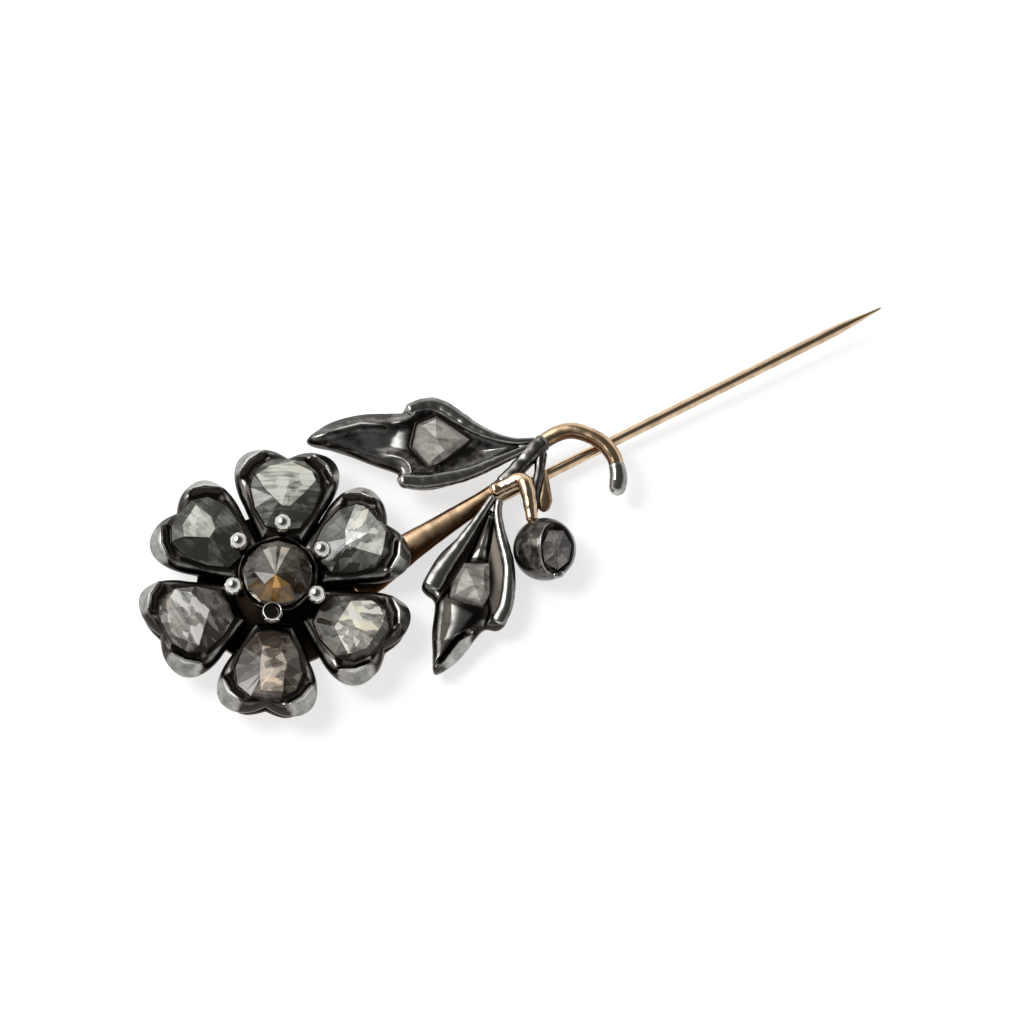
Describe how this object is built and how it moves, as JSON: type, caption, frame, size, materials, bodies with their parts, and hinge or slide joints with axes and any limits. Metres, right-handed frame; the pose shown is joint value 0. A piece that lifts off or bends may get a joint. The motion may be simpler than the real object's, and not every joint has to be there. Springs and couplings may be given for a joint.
{
  "type": "hat pin",
  "caption": "Hat pin with a stone-set flower head, a side spray of leaves and a bud on a crook-ended stem, and a long straight wire that tapers to a point to hold a hat or scarf.",
  "frame": {"origin": "middle of the flat back plate behind the flower, on the face that rests on a table", "axes": "+Z out through the face of the flower, +X along the pin wire towards its point, +Y towards the upper leaf"},
  "size_m": [0.081, 0.0292, 0.0082],
  "materials": {
    "silver": "old silver, darkened by tarnish in the hollows and rubbed bright on the edges and claw heads",
    "gold": "low-carat rose gold, polished, brown in the grooves",
    "foil": "thin silvery foil behind the stones",
    "diamond": "rose-cut stone with a grey to straw tint and small flecks"
  },
  "bodies": {
    "root": {"flower_base": "gold", "petal_1_back": "gold", "petal_1_setting": "silver", "petal_1_foil": "foil", "petal_1_diamond": "diamond", "petal_2_back": "gold", "petal_2_setting": "silver", "petal_2_foil": "foil", "petal_2_diamond": "diamond", "petal_3_back": "gold", "petal_3_setting": "silver", "petal_3_foil": "foil", "petal_3_diamond": "diamond", "petal_4_back": "gold", "petal_4_setting": "silver", "petal_4_foil": "foil", "petal_4_diamond": "diamond", "petal_5_back": "gold", "petal_5_setting": "silver", "petal_5_foil": "foil", "petal_5_diamond": "diamond", "petal_6_back": "gold", "petal_6_setting": "silver", "petal_6_foil": "foil", "petal_6_diamond": "diamond", "centre_collet": "silver", "centre_foil": "foil", "centre_diamond": "diamond", "centre_claw_1": "silver", "centre_claw_2": "silver", "centre_claw_3": "silver", "centre_claw_4": "silver", "centre_claw_5": "silver", "centre_claw_6": "silver", "pin_wire": "gold", "main_stem": "gold", "stem_tip": "silver", "upper_leaf_back": "gold", "upper_leaf_setting": "silver", "upper_leaf_foil": "foil", "upper_leaf_diamond": "diamond", "lower_leaf_back": "gold", "lower_leaf_setting": "silver", "lower_leaf_foil": "foil", "lower_leaf_diamond": "diamond", "bud_cup": "silver", "bud_foil": "foil", "bud_diamond": "diamond", "bud_stalk": "gold", "stalk_tab": "gold"}
  },
  "joints": []
}
